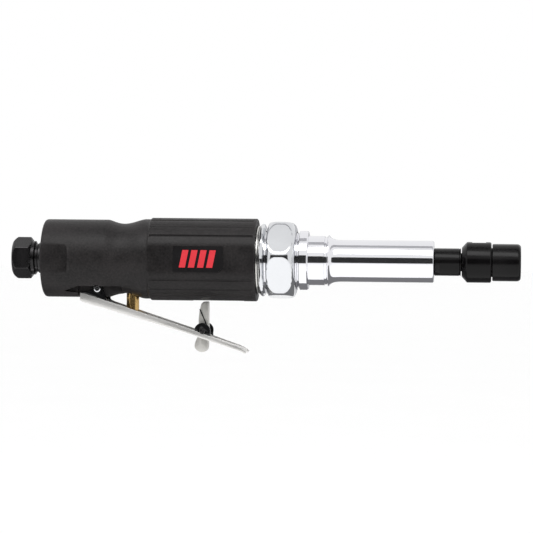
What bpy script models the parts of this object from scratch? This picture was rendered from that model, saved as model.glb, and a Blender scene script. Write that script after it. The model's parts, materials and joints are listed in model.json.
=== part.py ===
"""Pneumatic die grinder with a long extension housing, a lever throttle and a quick-change chuck.

The tool stands upright: +X along the spindle toward the chuck, +Z away from the lever, the emblem
on the -Y side, and the origin on the spindle axis at the flat floor of the chuck's socket.
Lengths are in metres, written as millimetres times MM.
"""
import math

import bmesh
import bpy
from mathutils import Matrix, Vector

MM = 0.001
GAP = 0.3 * MM              # clearance left between neighbouring pieces
ROUND = 28                  # sides of an ordinary turned piece
FINE = 36                   # sides of the large outer turned pieces
SMALL = 16                  # sides of pins and small bores

# stations along the spindle axis, from the inlet to the nose
INLET_END = -245.0 * MM
HEX_FRONT = -235.2 * MM
BODY_REAR = -228.2 * MM
WAIST_REAR = -195.0 * MM
WAIST_FRONT = -175.4 * MM
GRIP_REAR = -171.8 * MM
GRIP_FRONT = -116.8 * MM
JAM_REAR = -115.3 * MM
CLAMP_REAR = -111.4 * MM
CLAMP_FRONT = -96.3 * MM
RING_FRONT = -94.7 * MM
BASE_FRONT = -90.1 * MM
STEP_FRONT = -81.7 * MM
RIM = -79.7 * MM
TUBE_REAR = -73.4 * MM
TUBE_FRONT = -25.3 * MM
CHUCK_REAR = -11.0 * MM
COLLAR_REAR = -8.6 * MM
COLLAR_FRONT = 4.2 * MM
NOSE = 19.3 * MM

# radii about the spindle axis
BODY_R = 20.3 * MM
WAIST_DEPTH = 2.2 * MM
LAND_R = 20.75 * MM
GRIP_R = 21.5 * MM
GROOVE_DEPTH = 0.75 * MM
CAVITY_R = 18.2 * MM
SPIGOT_R = 14.8 * MM
BASE_R = 15.3 * MM
STEP_R = 12.75 * MM
TUBE_R = 10.8 * MM
TUBE_BORE_R = 8.0 * MM
SPINDLE_R = 7.1 * MM
SHAFT_R = 3.7 * MM
COLLAR_R = 10.5 * MM
SLEEVE_R = 9.6 * MM
INLET_FLATS = 19.0 * MM
INLET_BORE_R = 5.7 * MM
PASSAGE_R = 3.6 * MM

# motor stack
CAVITY_REAR = -171.0 * MM
PLATE_THICK = 5.0 * MM
CYLINDER_LENGTH = 30.5 * MM
CYLINDER_BORE_R = 14.2 * MM
CYLINDER_OFFSET = 2.0 * MM
ROTOR_R = 11.9 * MM
VANE_COUNT = 4

# ball bearings, all of one size
BEARING_LENGTH = 4.0 * MM
BEARING_OUTER_R = 7.7 * MM
BEARING_BALLS = 6

# throttle lever and its valve
PIVOT = Vector((-199.6, 0.0, -15.7)) * MM
LEVER_WIDTH = 17.0 * MM
SHEET = 1.5 * MM
PIN_R = 1.8 * MM
LATCH_PIN_R = 1.3 * MM
VALVE_X = -182.1 * MM
PLUNGER_R = 3.3 * MM
LATCH_PIVOT = Vector((-144.6, 0.0, -37.0)) * MM
LATCH_THICK = 5.0 * MM

BLACK = (0.022, 0.021, 0.021)
CHROME = (0.80, 0.80, 0.82)
STEEL = (0.56, 0.55, 0.53)
DARK_STEEL = (0.035, 0.035, 0.038)
BRASS = (0.55, 0.36, 0.13)
RUBBER = (0.012, 0.012, 0.012)
BRONZE = (0.38, 0.24, 0.12)
RED = (0.60, 0.017, 0.03)
CAST_IRON = (0.16, 0.16, 0.17)
FIBRE = (0.20, 0.09, 0.04)


# ---------------------------------------------------------------- building blocks

def clear_scene():
    for thing in list(bpy.data.objects):
        bpy.data.objects.remove(thing, do_unlink=True)


def surface(name, colour, roughness, metallic):
    material = bpy.data.materials.new(name)
    material.use_nodes = True
    shader = material.node_tree.nodes["Principled BSDF"]
    shader.inputs["Base Color"].default_value = (*colour, 1.0)
    shader.inputs["Roughness"].default_value = roughness
    shader.inputs["Metallic"].default_value = metallic
    return material


def from_bmesh(name, mesh_edit):
    bmesh.ops.recalc_face_normals(mesh_edit, faces=mesh_edit.faces[:])
    mesh = bpy.data.meshes.new(name)
    mesh_edit.to_mesh(mesh)
    mesh_edit.free()
    thing = bpy.data.objects.new(name, mesh)
    bpy.context.scene.collection.objects.link(thing)
    return thing


def smooth(thing, angle=math.radians(32)):
    """Round faces shaded smooth, with edges steeper than the angle kept crisp."""
    mesh_edit = bmesh.new()
    mesh_edit.from_mesh(thing.data)
    for face in mesh_edit.faces:
        face.smooth = True
    for edge in mesh_edit.edges:
        edge.smooth = edge.is_manifold and edge.calc_face_angle(0.0) < angle
    mesh_edit.to_mesh(thing.data)
    mesh_edit.free()


def dress(thing, colour, roughness, metallic):
    thing.data.materials.clear()
    thing.data.materials.append(surface(thing.name, colour, roughness, metallic))
    smooth(thing)
    return thing


def turned(name, profile, sides=ROUND, centre=(0.0, 0.0), radius_at=None):
    """Solid of revolution about X from (x, radius) points.

    A profile that starts and ends at radius zero is a solid bar; any other profile is a closed
    loop, so it makes a ring.  radius_at(angle, x, radius) can reshape each section.
    """
    mesh_edit = bmesh.new()
    rings = []
    for x, radius in profile:
        if radius == 0.0:
            rings.append([mesh_edit.verts.new((x, centre[0], centre[1]))])
            continue
        ring = []
        for step in range(sides):
            angle = 2 * math.pi * (step + 0.5) / sides
            reach = radius_at(angle, x, radius) if radius_at else radius
            ring.append(mesh_edit.verts.new((x, centre[0] + reach * math.cos(angle),
                                             centre[1] + reach * math.sin(angle))))
        rings.append(ring)
    closed = len(rings[0]) > 1
    pairs = list(zip(rings, rings[1:])) + ([(rings[-1], rings[0])] if closed else [])
    for first, second in pairs:
        for step in range(sides):
            after = (step + 1) % sides
            corners = [first[step % len(first)], first[after % len(first)],
                       second[after % len(second)], second[step % len(second)]]
            mesh_edit.faces.new(list(dict.fromkeys(corners)))
    return from_bmesh(name, mesh_edit)


def bar(name, rear, front, radius, sides=ROUND, chamfer=0.0, centre=(0.0, 0.0)):
    profile = [(rear, 0.0), (rear, radius - chamfer)]
    if chamfer:
        profile += [(rear + chamfer, radius), (front - chamfer, radius)]
    profile += [(front, radius - chamfer), (front, 0.0)]
    if not chamfer:
        profile = [(rear, 0.0), (rear, radius), (front, radius), (front, 0.0)]
    return turned(name, profile, sides, centre)


def ring(name, rear, front, inner, outer, sides=ROUND, chamfer=0.0):
    profile = [(rear, inner), (rear, outer - chamfer)]
    if chamfer:
        profile += [(rear + chamfer, outer), (front - chamfer, outer)]
    profile += [(front, outer - chamfer), (front, inner)]
    return turned(name, profile, sides)


def slab(name, outline, low, high, axis="Y"):
    """Prism from a flat outline: (x, z) points pushed along Y, (x, y) along Z, (y, z) along X."""
    mesh_edit = bmesh.new()
    place = {"Y": lambda u, v, w: (u, w, v), "Z": lambda u, v, w: (u, v, w),
             "X": lambda u, v, w: (w, u, v)}[axis]
    base = [mesh_edit.verts.new(place(u, v, low)) for u, v in outline]
    top = [mesh_edit.verts.new(place(u, v, high)) for u, v in outline]
    mesh_edit.faces.new(base)
    mesh_edit.faces.new(top)
    count = len(outline)
    for step in range(count):
        after = (step + 1) % count
        mesh_edit.faces.new((base[step], base[after], top[after], top[step]))
    return from_bmesh(name, mesh_edit)


def block(name, low, high):
    outline = [(low[0], low[2]), (high[0], low[2]), (high[0], high[2]), (low[0], high[2])]
    return slab(name, outline, low[1], high[1])


def arc(centre, radius, start, stop, steps):
    """Points round an arc, angles in degrees."""
    points = []
    for step in range(steps + 1):
        angle = math.radians(start + (stop - start) * step / steps)
        points.append((centre[0] + radius * math.cos(angle), centre[1] + radius * math.sin(angle)))
    return points


def hexagon(across_flats, turn=0.0):
    corner = across_flats / math.sqrt(3)
    return arc((0.0, 0.0), corner, turn, turn + 300, 5)


def turn_about_x(thing, degrees):
    thing.data.transform(Matrix.Rotation(math.radians(degrees), 4, "X"))
    return thing


def upright(thing, x, y=0.0):
    """Turns a piece built along X so that it stands along Z at (x, y)."""
    thing.data.transform(Matrix.Translation((x, y, 0.0)) @ Matrix.Rotation(-math.pi / 2, 4, "Y"))
    return thing


def crosswise(thing, at):
    """Turns a piece built along X so that it lies along Y through the point."""
    thing.data.transform(Matrix.Translation(at) @ Matrix.Rotation(math.pi / 2, 4, "Z"))
    return thing


def combine(target, others, operation="DIFFERENCE"):
    """Boolean of the target with each other piece in turn; the others are used up."""
    for other in others:
        modifier = target.modifiers.new("combine", "BOOLEAN")
        modifier.operation = operation
        modifier.solver = "EXACT"
        modifier.object = other
        bpy.context.view_layer.update()
        depsgraph = bpy.context.evaluated_depsgraph_get()
        result = bpy.data.meshes.new_from_object(target.evaluated_get(depsgraph))
        target.modifiers.clear()
        spent = target.data
        target.data = result
        bpy.data.meshes.remove(spent)
        bpy.data.objects.remove(other, do_unlink=True)
    mesh_edit = bmesh.new()
    mesh_edit.from_mesh(target.data)
    bmesh.ops.remove_doubles(mesh_edit, verts=mesh_edit.verts[:], dist=0.002 * MM)
    bmesh.ops.dissolve_degenerate(mesh_edit, edges=mesh_edit.edges[:], dist=0.002 * MM)
    mesh_edit.to_mesh(target.data)
    mesh_edit.free()
    return target


def set_origin(thing, point):
    """Puts the object's origin on its joint axis without moving its surface."""
    thing.data.transform(Matrix.Translation(-Vector(point)))
    thing.location = point
    return thing


def coil(name, radius, wire, start, stop, turns, steps=12, wire_sides=4):
    """Helical spring along X with squared-off wire ends."""
    mesh_edit = bmesh.new()
    total = int(turns * steps)
    sections = []
    for step in range(total + 1):
        angle = 2 * math.pi * step / steps
        x = start + (stop - start) * step / total
        section = []
        for side in range(wire_sides):
            around = 2 * math.pi * side / wire_sides
            reach = radius + wire * math.cos(around)
            section.append(mesh_edit.verts.new((x + wire * math.sin(around),
                                                reach * math.cos(angle), reach * math.sin(angle))))
        sections.append(section)
    mesh_edit.faces.new(sections[0])
    mesh_edit.faces.new(sections[-1])
    for first, second in zip(sections, sections[1:]):
        for side in range(wire_sides):
            after = (side + 1) % wire_sides
            mesh_edit.faces.new((first[side], first[after], second[after], second[side]))
    return from_bmesh(name, mesh_edit)


def ball(name, centre, radius):
    mesh_edit = bmesh.new()
    bmesh.ops.create_icosphere(mesh_edit, subdivisions=2, radius=radius,
                               matrix=Matrix.Translation(centre))
    return from_bmesh(name, mesh_edit)


def small_ball(name, centre, radius):
    mesh_edit = bmesh.new()
    bmesh.ops.create_uvsphere(mesh_edit, u_segments=6, v_segments=4, radius=radius,
                              matrix=Matrix.Translation(centre))
    return from_bmesh(name, mesh_edit)


# ---------------------------------------------------------------- housing

GROOVES_ABOVE = (35.0, 52.5, 70.0)
GROOVES_BELOW = (-29.0, -46.0, -62.0)
PANEL_HALF = 20.0           # degrees either side of the middle of the flat panel
PANEL_FLAT = GRIP_R * math.cos(math.radians(PANEL_HALF))
GROOVE_HALF = 1.6           # half width of a groove, in degrees


def grip_angles():
    """Angles round the grip, from the near side upward, with each one's depth below the ribs."""
    near = []
    for middle in sorted(GROOVES_ABOVE + GROOVES_BELOW):
        near += [(middle - GROOVE_HALF - 0.8, 0.0), (middle - GROOVE_HALF + 0.8, GROOVE_DEPTH),
                 (middle + GROOVE_HALF - 0.8, GROOVE_DEPTH), (middle + GROOVE_HALF + 0.8, 0.0)]
    near += [(step * PANEL_HALF / 2, 0.0) for step in range(-2, 3)]
    near += [(80.0, 0.0), (-54.0, 0.0), (-71.0, 0.0), (-79.0, 0.0), (61.0, 0.0), (43.5, 0.0)]
    near.sort()
    far = [(180.0 - angle, depth) for angle, depth in reversed(near)]
    top = [(88.4, GROOVE_DEPTH), (91.6, GROOVE_DEPTH), (86.8, 0.0), (93.2, 0.0)]
    bottom = [(270.0, 0.0)]
    return sorted(near + top + far + bottom)


def housing_outline():
    """(x, radius, share of the rib depth) down the outside of the housing."""
    rows = [(BODY_REAR, BODY_R - 1.3 * MM, 0), (BODY_REAR + 0.3 * MM, BODY_R - 0.5 * MM, 0),
            (BODY_REAR + 1.2 * MM, BODY_R, 0)]
    steps = 8
    for step in range(steps + 1):
        share = step / steps
        x = WAIST_REAR + (WAIST_FRONT - WAIST_REAR) * share
        dip = WAIST_DEPTH * math.sin(math.pi * share ** 0.85) ** 1.3
        rows.append((x, BODY_R + (LAND_R - BODY_R) * share - dip, 0))
    rows += [(GRIP_REAR - 0.9 * MM, LAND_R, 0), (GRIP_REAR, GRIP_R, 0),
             (GRIP_REAR + 0.7 * MM, GRIP_R, 1), (GRIP_FRONT - 1.6 * MM, GRIP_R, 1),
             (GRIP_FRONT - 0.6 * MM, GRIP_R, 0), (GRIP_FRONT, GRIP_R - 0.5 * MM, 0)]
    return rows


def grip_reach(degrees, x, radius, depth):
    """Distance from the axis to the skin; the two flat panels run to the front of the grip."""
    from_middle = min(abs(degrees), abs(degrees - 180.0))
    if x >= GRIP_REAR and from_middle <= PANEL_HALF:
        return min(radius, PANEL_FLAT / math.cos(math.radians(from_middle)))
    return radius - depth


def housing_shell():
    angles = grip_angles()
    mesh_edit = bmesh.new()
    rings = []
    for x, radius, rib_share in housing_outline():
        row = []
        for degrees, depth in angles:
            reach = grip_reach(degrees, x, radius, depth * rib_share)
            angle = math.radians(degrees)
            row.append(mesh_edit.verts.new((x, -reach * math.cos(angle), reach * math.sin(angle))))
        rings.append(row)
    count = len(angles)
    for first, second in zip(rings, rings[1:]):
        for step in range(count):
            after = (step + 1) % count
            mesh_edit.faces.new((first[step], first[after], second[after], second[step]))
    mesh_edit.faces.new(rings[0])
    mesh_edit.faces.new(rings[-1])
    return from_bmesh("housing", mesh_edit)


TONGUE_HALF = LEVER_WIDTH / 2 - SHEET - GAP      # half width of the lug between the lever's ears
SLOT_OUTER = LEVER_WIDTH / 2 + GAP
NOTCH_REAR, NOTCH_FRONT = -209.9 * MM, -186.6 * MM
NOTCH_CEILING = -14.2 * MM
VALVE_BORE_R = 5.2 * MM
VALVE_TOP = 9.0 * MM
BUSHING_THREAD_FRONT = -214.0 * MM
WRENCH_FLAT_LENGTH = 14.4 * MM
WRENCH_FLAT_HALF = 7.2 * MM


def housing():
    shell = housing_shell()
    below = -24.0 * MM
    cuts = [
        bar("cavity", CAVITY_REAR, GRIP_FRONT + MM, CAVITY_R, FINE),
        bar("bushing seat", BODY_REAR - MM, BUSHING_THREAD_FRONT + GAP, 8.3 * MM, ROUND),
        bar("passage", BUSHING_THREAD_FRONT - MM, VALVE_X, PASSAGE_R, SMALL),
        upright(bar("valve bore", below, VALVE_TOP, VALVE_BORE_R, 24), VALVE_X),
        bar("feed", VALVE_X + 3 * MM, CAVITY_REAR + MM, 2.5 * MM, 12, centre=(0.0, -9.0 * MM)),
        bar("exhaust", BODY_REAR - MM, CAVITY_REAR + MM, 2.6 * MM, 12, centre=(0.0, 14.0 * MM)),
        # relief under the grip that the latch's upper leg swings in
        block("latch relief", (-150.5 * MM, -LATCH_THICK / 2 - 0.7 * MM, below),
              (-123.5 * MM, LATCH_THICK / 2 + 0.7 * MM, -18.85 * MM)),
    ]
    cuts.append(crosswise(bar("pin hole", -20 * MM, 20 * MM, PIN_R + GAP, SMALL), PIVOT))
    for side in (-1, 1):
        slot_sides = sorted((side * TONGUE_HALF, side * SLOT_OUTER))
        mill_sides = sorted((side * (SLOT_OUTER - 0.4 * MM), side * 19.0 * MM))
        cuts.append(block("ear slot", (NOTCH_REAR, slot_sides[0], below),
                          (NOTCH_FRONT, slot_sides[1], -12.1 * MM)))
        runout = [(NOTCH_REAR + 0.5 * MM, NOTCH_CEILING), (-216.6 * MM, -17.0 * MM),
                  (NOTCH_REAR + 0.5 * MM, -17.9 * MM)]
        cuts.append(slab("run-out", runout, *mill_sides))
        cuts.append(block("side mill", (NOTCH_REAR, mill_sides[0], below),
                          (NOTCH_FRONT, mill_sides[1], NOTCH_CEILING)))
        # wrench flat at the rear end
        half, front = WRENCH_FLAT_HALF, BODY_REAR + WRENCH_FLAT_LENGTH
        flat = slab("wrench flat", [(BODY_REAR - MM, -half), (front - 1.6 * MM, -half),
                                    (front - 0.4 * MM, -0.69 * half), (front, 0.0),
                                    (front - 0.4 * MM, 0.69 * half), (front - 1.6 * MM, half),
                                    (BODY_REAR - MM, half)],
                    *sorted((side * 19.0 * MM, side * 25.0 * MM)))
        cuts.append(flat)
    return dress(combine(shell, cuts), BLACK, 0.55, 0.0)


def lever_pin():
    pin = crosswise(bar("lever_pin", -9.6 * MM, 9.6 * MM, PIN_R, SMALL, 0.4 * MM), PIVOT)
    return dress(pin, DARK_STEEL, 0.3, 1.0)


# ---------------------------------------------------------------- inlet

def inlet_parts():
    nut = slab("inlet_bushing", hexagon(INLET_FLATS, 30.0), INLET_END, HEX_FRONT, "X")
    chamfered = turned("hex chamfer", [
        (INLET_END, 0.0), (INLET_END, 8.8 * MM), (INLET_END + 2.0 * MM, 11.0 * MM),
        (HEX_FRONT - 0.9 * MM, 11.0 * MM), (HEX_FRONT, 9.4 * MM), (HEX_FRONT, 0.0)], ROUND)
    combine(nut, [chamfered], "INTERSECT")
    stem = turned("neck", [
        (HEX_FRONT - 2 * MM, 0.0), (HEX_FRONT - 2 * MM, 8.8 * MM), (BODY_REAR - 5.4 * MM, 8.8 * MM),
        (BODY_REAR - 4.8 * MM, 7.4 * MM), (BODY_REAR - 3.8 * MM, 7.4 * MM), (BODY_REAR - 3.2 * MM, 8.0 * MM),
        (BUSHING_THREAD_FRONT, 8.0 * MM), (BUSHING_THREAD_FRONT, 0.0)], ROUND)
    combine(nut, [stem], "UNION")
    bore = turned("air bore", [
        (INLET_END - MM, 0.0), (INLET_END - MM, INLET_BORE_R + 0.9 * MM),
        (INLET_END, INLET_BORE_R + 0.9 * MM), (INLET_END + 0.9 * MM, INLET_BORE_R),
        (-225.0 * MM, INLET_BORE_R), (-225.0 * MM, PASSAGE_R),
        (BUSHING_THREAD_FRONT + MM, PASSAGE_R), (BUSHING_THREAD_FRONT + MM, 0.0)], 24)
    combine(nut, [bore])
    dress(nut, DARK_STEEL, 0.35, 1.0)

    seal = turned("inlet_seal", [(BODY_REAR - 1.1 * MM + 0.9 * MM * math.cos(a), 9.4 * MM + 0.8 * MM * math.sin(a))
                                 for a in [2 * math.pi * k / 6 for k in range(6)]], 24)
    dress(seal, RUBBER, 0.6, 0.0)

    screen = bar("inlet_screen", -226.8 * MM, -225.5 * MM, INLET_BORE_R - GAP, 24)
    holes = []
    pitch = 2.2 * MM
    for row in range(-1, 2):
        for column in range(-1, 2):
            half = 0.75 * MM
            y, z = column * pitch, row * pitch
            holes.append(block("hole", (-228 * MM, y - half, z - half), (-224 * MM, y + half, z + half)))
    combine(screen, holes)
    dress(screen, BRASS, 0.4, 1.0)


# ---------------------------------------------------------------- throttle valve

SEAT_TOP = -4.0 * MM
VALVE_BALL_R = 2.9 * MM
BUSHING_BOTTOM = -17.0 * MM
PLUNGER_BOTTOM = -27.05 * MM


def valve_parts():
    bushing = ring("valve_bushing", BUSHING_BOTTOM, SEAT_TOP, 2.0 * MM, VALVE_BORE_R - GAP, 24)
    counterbore = bar("stem bore", BUSHING_BOTTOM - MM, -7.0 * MM, PLUNGER_R + GAP, 24)
    upright(bushing, VALVE_X)
    upright(counterbore, VALVE_X)
    port = block("port", (VALVE_X + 0.7 * MM, -1.3 * MM, -10.6 * MM), (VALVE_X + 8 * MM, 1.3 * MM, -7.7 * MM))
    combine(bushing, [counterbore, port])
    dress(bushing, BRASS, 0.35, 1.0)

    stem = upright(turned("valve_stem", [
        (PLUNGER_BOTTOM, 0.0), (PLUNGER_BOTTOM, PLUNGER_R - 0.5 * MM),
        (PLUNGER_BOTTOM + 0.5 * MM, PLUNGER_R), (-12.0 * MM, PLUNGER_R), (-11.6 * MM, 1.5 * MM),
        (SEAT_TOP + 0.2 * MM, 1.5 * MM), (SEAT_TOP + 0.2 * MM, 0.0)], 24), VALVE_X)
    set_origin(dress(stem, BRASS, 0.25, 1.0), (VALVE_X, 0.0, SEAT_TOP))

    centre = Vector((VALVE_X, 0.0, SEAT_TOP + 0.5 * MM + VALVE_BALL_R))
    valve_ball = set_origin(dress(ball("valve_ball", centre, VALVE_BALL_R), CHROME, 0.1, 1.0), centre)

    low = centre.z + VALVE_BALL_R + 0.7 * MM
    spring = upright(coil("valve_spring", 2.6 * MM, 0.35 * MM, low, VALVE_TOP - 0.7 * MM, 3.5), VALVE_X)
    dress(spring, STEEL, 0.3, 1.0)


# ---------------------------------------------------------------- motor

def bearing(prefix, rear, inner=SHAFT_R + GAP):
    front = rear + BEARING_LENGTH
    outer = ring(prefix + "_outer", rear, front, BEARING_OUTER_R - 0.9 * MM, BEARING_OUTER_R, 24)
    dress(outer, CHROME, 0.2, 1.0)
    race = ring(prefix + "_inner", rear, front, inner, inner + 0.8 * MM, 20)
    dress(race, CHROME, 0.2, 1.0)
    middle = (rear + front) / 2
    pitch_r = (inner + 0.8 * MM + BEARING_OUTER_R - 0.9 * MM) / 2
    ball_r = (BEARING_OUTER_R - 0.9 * MM - inner - 0.8 * MM) / 2 - GAP
    cage = ring(prefix + "_balls", middle - 0.6 * MM, middle + 0.6 * MM, pitch_r - 0.2 * MM,
                pitch_r + 0.2 * MM, 18)
    balls = []
    for step in range(BEARING_BALLS):
        angle = 2 * math.pi * step / BEARING_BALLS
        centre = (middle, pitch_r * math.cos(angle), pitch_r * math.sin(angle))
        balls.append(small_ball("ball", centre, ball_r))
    combine(cage, balls, "UNION")
    dress(cage, STEEL, 0.25, 1.0)


def end_plate(name, rear, bearing_rear):
    front = rear + PLATE_THICK
    plate = ring(name, rear, front, SHAFT_R + 1.0 * MM, CAVITY_R - GAP, FINE)
    pocket_ends = sorted((bearing_rear - GAP, bearing_rear + BEARING_LENGTH + GAP))
    if bearing_rear < rear + MM:
        pocket_ends[0] = rear - MM
    else:
        pocket_ends[1] = front + MM
    combine(plate, [bar("bearing pocket", *pocket_ends, BEARING_OUTER_R + GAP, 32)])
    return plate


REAR_PLATE = CAVITY_REAR + GAP
CYLINDER_REAR = REAR_PLATE + PLATE_THICK + GAP
FRONT_PLATE = CYLINDER_REAR + CYLINDER_LENGTH + GAP
SPIGOT_REAR = FRONT_PLATE + PLATE_THICK + GAP


def motor_parts():
    rear_plate = end_plate("rear_end_plate", REAR_PLATE, REAR_PLATE)
    feed = bar("feed port", REAR_PLATE - MM, CYLINDER_REAR, 2.2 * MM, 12, centre=(0.0, -10.6 * MM))
    combine(rear_plate, [feed])
    dress(rear_plate, CAST_IRON, 0.4, 1.0)
    front_plate = end_plate("front_end_plate", FRONT_PLATE, FRONT_PLATE + PLATE_THICK - BEARING_LENGTH)
    dress(front_plate, CAST_IRON, 0.4, 1.0)

    cylinder = bar("cylinder", CYLINDER_REAR, FRONT_PLATE - GAP, CAVITY_R - GAP, FINE)
    bore = bar("eccentric bore", CYLINDER_REAR - MM, FRONT_PLATE + MM, CYLINDER_BORE_R, FINE,
               centre=(0.0, CYLINDER_OFFSET))
    pin_hole = bar("dowel hole", CYLINDER_REAR - MM, CYLINDER_REAR + 8 * MM, 0.95 * MM, 12,
                   centre=(0.0, -15.2 * MM))
    combine(cylinder, [bore, pin_hole])
    dress(cylinder, CAST_IRON, 0.35, 1.0)
    dowel = bar("dowel_pin", CYLINDER_REAR + GAP, CYLINDER_REAR + 7 * MM, 0.65 * MM, 12,
                centre=(0.0, -15.2 * MM))
    dress(dowel, STEEL, 0.3, 1.0)

    rotor_rear, rotor_front = CYLINDER_REAR + GAP, FRONT_PLATE - 2 * GAP
    rotor = turned("rotor", [
        (REAR_PLATE + 0.4 * MM, 0.0), (REAR_PLATE + 0.4 * MM, SHAFT_R), (rotor_rear, SHAFT_R),
        (rotor_rear, ROTOR_R), (rotor_front, ROTOR_R), (rotor_front, SHAFT_R),
        (COUPLING_REAR - MM, SHAFT_R), (COUPLING_REAR - MM, 2.6 * MM), (ROTOR_TIP, 2.6 * MM),
        (ROTOR_TIP, 0.0)], ROUND)
    slots, vanes = [], []
    slot_half, slot_floor = 1.0 * MM, 4.6 * MM
    for step in range(VANE_COUNT):
        turn = 360.0 * step / VANE_COUNT
        slot = block("vane slot", (rotor_rear - MM, -slot_half, slot_floor),
                     (rotor_front + MM, slot_half, ROTOR_R + MM))
        slots.append(turn_about_x(slot, turn))
        vane = block("vane_%d" % (step + 1), (rotor_rear, -slot_half + GAP, slot_floor + GAP),
                     (rotor_front, slot_half - GAP, ROTOR_R - 0.1 * MM))
        vanes.append(turn_about_x(vane, turn))
    combine(rotor, slots)
    dress(rotor, STEEL, 0.3, 1.0)
    for vane in vanes:
        dress(vane, FIBRE, 0.7, 0.0)
    bearing("rear_bearing", REAR_PLATE + 0.3 * MM)
    bearing("front_bearing", FRONT_PLATE + PLATE_THICK - BEARING_LENGTH - 0.3 * MM)


# ---------------------------------------------------------------- extension and clamp

COUPLING_REAR = -127.0 * MM
COUPLING_FRONT = -113.0 * MM
ROTOR_TIP = -120.6 * MM
SPINDLE_REAR = -120.0 * MM
REAR_SPINDLE_BEARING = -104.0 * MM
FRONT_SPINDLE_BEARING = -33.0 * MM


def extension_parts():
    housing_thread_r = CAVITY_R - GAP
    shell = turned("extension_housing", [
        (SPIGOT_REAR, 11.2 * MM), (SPIGOT_REAR, housing_thread_r), (GRIP_FRONT - GAP, housing_thread_r),
        (GRIP_FRONT - GAP, SPIGOT_R), (CLAMP_FRONT - 0.7 * MM, SPIGOT_R), (CLAMP_FRONT - 0.7 * MM, 14.5 * MM),
        (RING_FRONT - 0.7 * MM, 14.5 * MM), (RING_FRONT - 0.3 * MM, 13.9 * MM),
        (RING_FRONT, BASE_R), (BASE_FRONT - 0.4 * MM, BASE_R), (BASE_FRONT, BASE_R - 0.4 * MM),
        (BASE_FRONT + 0.3 * MM, STEP_R), (STEP_FRONT, STEP_R), (STEP_FRONT + 0.4 * MM, STEP_R - 0.4 * MM),
        (RIM - 0.6 * MM, STEP_R - 0.4 * MM), (RIM - 0.3 * MM, 13.1 * MM), (RIM, 13.25 * MM),
        (RIM + 0.3 * MM, 12.9 * MM), (RIM + 1.3 * MM, 11.9 * MM), (RIM + 3.2 * MM, 11.15 * MM),
        (TUBE_REAR, TUBE_R), (TUBE_FRONT - 0.7 * MM, TUBE_R), (TUBE_FRONT, TUBE_R - 0.8 * MM),
        (TUBE_FRONT, TUBE_BORE_R), (REAR_SPINDLE_BEARING - 1.2 * MM, TUBE_BORE_R),
        (REAR_SPINDLE_BEARING - 1.2 * MM, 11.2 * MM)], FINE)
    dress(shell, CHROME, 0.12, 1.0)

    washer = ring("face_ring", GRIP_FRONT + GAP * 0.4, JAM_REAR - GAP * 0.6, SPIGOT_R + GAP,
                  18.0 * MM, FINE, 0.25 * MM)
    dress(washer, STEEL, 0.3, 1.0)

    jam = slab("jam_nut", hexagon(36.5 * MM, 13.0), JAM_REAR, CLAMP_REAR - 0.9 * MM, "X")
    jam_r = 18.9 * MM
    jam_limit = bar("jam chamfer", JAM_REAR, CLAMP_REAR - 0.9 * MM, jam_r, FINE, 0.9 * MM)
    combine(jam, [jam_limit], "INTERSECT")
    combine(jam, [bar("bore", JAM_REAR - MM, CLAMP_REAR, SPIGOT_R + GAP, FINE)])
    dress(jam, CHROME, 0.12, 1.0)

    clamp = slab("clamp_nut", hexagon(38.0 * MM, 173.0), CLAMP_REAR, CLAMP_FRONT, "X")
    clamp_r = 20.6 * MM
    limit = turned("clamp chamfer", [
        (CLAMP_REAR, 0.0), (CLAMP_REAR, clamp_r - 3.4 * MM), (CLAMP_REAR + 0.5 * MM, clamp_r - 2.1 * MM),
        (CLAMP_REAR + 2.2 * MM, clamp_r), (CLAMP_FRONT - 3.2 * MM, clamp_r),
        (CLAMP_FRONT - 0.9 * MM, clamp_r - 2.3 * MM), (CLAMP_FRONT, clamp_r - 3.9 * MM), (CLAMP_FRONT, 0.0)],
        FINE)
    combine(clamp, [limit], "INTERSECT")
    combine(clamp, [bar("bore", CLAMP_REAR - MM, CLAMP_FRONT + MM, SPIGOT_R + GAP, FINE)])
    dress(clamp, CHROME, 0.12, 1.0)

    bearing("rear_spindle_bearing", REAR_SPINDLE_BEARING)
    bearing("front_spindle_bearing", FRONT_SPINDLE_BEARING)
    spacer = ring("bearing_spacer", REAR_SPINDLE_BEARING + BEARING_LENGTH + GAP,
                  FRONT_SPINDLE_BEARING - GAP, 6.3 * MM, TUBE_BORE_R - GAP, 32)
    dress(spacer, STEEL, 0.4, 1.0)
    seal = ring("spindle_seal", FRONT_SPINDLE_BEARING + BEARING_LENGTH + GAP, TUBE_FRONT - 0.4 * MM,
                6.3 * MM, TUBE_BORE_R - GAP, 32)
    dress(seal, RUBBER, 0.6, 0.0)


# ---------------------------------------------------------------- spindle and chuck

CHUCK_BODY_R = 7.5 * MM
SOCKET_FLATS = 11.1 * MM
SLEEVE_REAR = COLLAR_FRONT + 0.5 * MM
SPRING_SHOULDER = 9.0 * MM
CHUCK_FRONT = 18.7 * MM
DETENT_X = 7.3 * MM
DETENT_R = 6.45 * MM
DETENT_TURN = 30.0          # degrees round the spindle, square to one flat of the socket


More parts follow.
